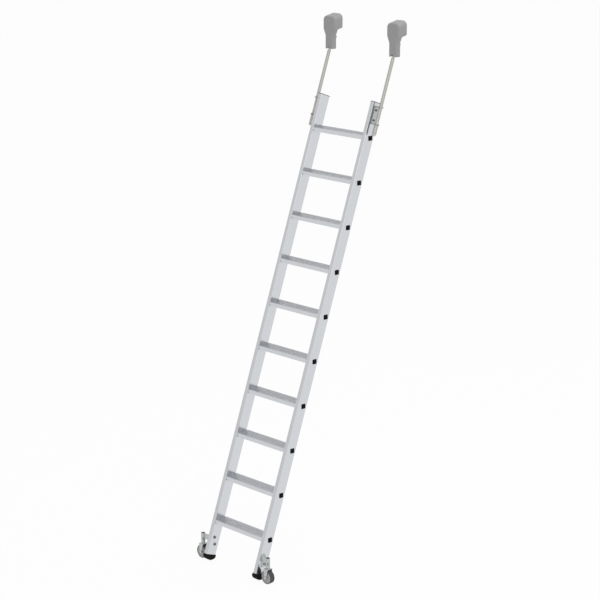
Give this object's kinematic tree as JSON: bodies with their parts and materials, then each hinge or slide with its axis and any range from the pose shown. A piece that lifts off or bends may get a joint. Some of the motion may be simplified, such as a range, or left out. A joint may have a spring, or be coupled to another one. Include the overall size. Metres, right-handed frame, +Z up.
{
  "type": "mobile shelf ladder",
  "caption": "Leaning aluminium tread ladder for shelving, with rail heads on sliding guide rods above and sprung castors and rubber feet below.",
  "frame": {"origin": "on the floor under the middle of the part's box, midway between the stiles", "axes": "+X along the treads, +Y the way the climber looks, +Z up"},
  "size_m": [0.633, 1.1598, 3.1462],
  "materials": {
    "stile_aluminium": "satin extruded",
    "tread_aluminium": "ribbed extruded",
    "zinc_steel": "zinc plated",
    "bolt_steel": "blackened",
    "rod_steel": "drawn bar",
    "spring_steel": "oiled",
    "grey_plastic": "moulded, matte",
    "dark_plastic": "moulded",
    "black_plastic": "moulded",
    "roller_plastic": "turned nylon",
    "hub_plastic": "moulded",
    "black_rubber": "moulded",
    "tyre_rubber": "smooth"
  },
  "bodies": {
    "ladder": {"tread_01": "tread_aluminium", "tread_02": "tread_aluminium", "tread_03": "tread_aluminium", "tread_04": "tread_aluminium", "tread_05": "tread_aluminium", "tread_06": "tread_aluminium", "tread_07": "tread_aluminium", "tread_08": "tread_aluminium", "tread_09": "tread_aluminium", "tread_10": "tread_aluminium", "left_stile": "stile_aluminium", "left_tread_plugs": "black_plastic", "left_stile_cap": "dark_plastic", "left_foot": "black_rubber", "left_guide_bracket": "zinc_steel", "left_castor_bracket": "zinc_steel", "left_castor_spring": "spring_steel", "right_stile": "stile_aluminium", "right_tread_plugs": "black_plastic", "right_stile_cap": "dark_plastic", "right_foot": "black_rubber", "right_guide_bracket": "zinc_steel", "right_castor_bracket": "zinc_steel", "right_castor_spring": "spring_steel", "guide_bolts": "bolt_steel", "guide_bushes": "grey_plastic", "castor_bolts": "bolt_steel", "castor_nuts": "zinc_steel", "castor_caps": "dark_plastic"},
    "left_rod": {"left_guide_rod": "rod_steel", "left_rod_stop": "rod_steel", "left_rod_nut": "zinc_steel"},
    "left_head": {"left_head_cover": "grey_plastic", "left_head_frame": "zinc_steel", "left_head_pivot": "zinc_steel", "left_roller_axles": "zinc_steel", "left_lift_lock": "zinc_steel"},
    "left_roller_inner": {"left_head_roller_inner": "roller_plastic"},
    "left_roller_outer": {"left_head_roller_outer": "roller_plastic"},
    "left_castor": {"left_castor_fork": "zinc_steel", "left_castor_pin": "bolt_steel", "left_wheel_axle": "zinc_steel"},
    "left_wheel": {"left_wheel_tyre": "tyre_rubber", "left_wheel_hub": "hub_plastic"},
    "right_rod": {"right_guide_rod": "rod_steel", "right_rod_stop": "rod_steel", "right_rod_nut": "zinc_steel"},
    "right_head": {"right_head_cover": "grey_plastic", "right_head_frame": "zinc_steel", "right_head_pivot": "zinc_steel", "right_roller_axles": "zinc_steel", "right_lift_lock": "zinc_steel"},
    "right_roller_inner": {"right_head_roller_inner": "roller_plastic"},
    "right_roller_outer": {"right_head_roller_outer": "roller_plastic"},
    "right_castor": {"right_castor_fork": "zinc_steel", "right_castor_pin": "bolt_steel", "right_wheel_axle": "zinc_steel"},
    "right_wheel": {"right_wheel_tyre": "tyre_rubber", "right_wheel_hub": "hub_plastic"}
  },
  "joints": [
    {"name": "left_rod_slide", "type": "slide", "parent": "ladder", "child": "left_rod", "axis": [0, 0.342, 0.9397], "range_m": [-0.19, 0]},
    {"name": "left_head_tilt", "type": "hinge", "parent": "left_rod", "child": "left_head", "pos_m": [-0.2555, 0.52493, 2.97165], "axis": [1, 0, 0], "range_deg": [-20, 6]},
    {"name": "left_roller_inner_spin", "type": "hinge", "parent": "left_head", "child": "left_roller_inner", "pos_m": [-0.2335, 0.55843, 3.06665], "axis": [0, 1, 0], "continuous": true},
    {"name": "left_roller_outer_spin", "type": "hinge", "parent": "left_head", "child": "left_roller_outer", "pos_m": [-0.2775, 0.55843, 3.06665], "axis": [0, 1, 0], "continuous": true},
    {"name": "left_castor_slide", "type": "slide", "parent": "ladder", "child": "left_castor", "axis": [0, 0, 1], "range_m": [0, 0.008], "stiffness_N_per_m": 12000, "springref_m": -0.01, "deforming": ["left_castor_spring"]},
    {"name": "left_wheel_spin", "type": "hinge", "parent": "left_castor", "child": "left_wheel", "pos_m": [-0.2765, -0.52911, 0.04], "axis": [0, 1, 0], "continuous": true},
    {"name": "right_rod_slide", "type": "slide", "parent": "ladder", "child": "right_rod", "axis": [0, 0.342, 0.9397], "range_m": [-0.19, 0]},
    {"name": "right_head_tilt", "type": "hinge", "parent": "right_rod", "child": "right_head", "pos_m": [0.2555, 0.52493, 2.97165], "axis": [1, 0, 0], "range_deg": [-20, 6]},
    {"name": "right_roller_inner_spin", "type": "hinge", "parent": "right_head", "child": "right_roller_inner", "pos_m": [0.2335, 0.55843, 3.06665], "axis": [0, 1, 0], "continuous": true},
    {"name": "right_roller_outer_spin", "type": "hinge", "parent": "right_head", "child": "right_roller_outer", "pos_m": [0.2775, 0.55843, 3.06665], "axis": [0, 1, 0], "continuous": true},
    {"name": "right_castor_slide", "type": "slide", "parent": "ladder", "child": "right_castor", "axis": [0, 0, 1], "range_m": [0, 0.008], "stiffness_N_per_m": 12000, "springref_m": -0.01, "deforming": ["right_castor_spring"]},
    {"name": "right_wheel_spin", "type": "hinge", "parent": "right_castor", "child": "right_wheel", "pos_m": [0.2765, -0.52911, 0.04], "axis": [0, 1, 0], "continuous": true}
  ]
}
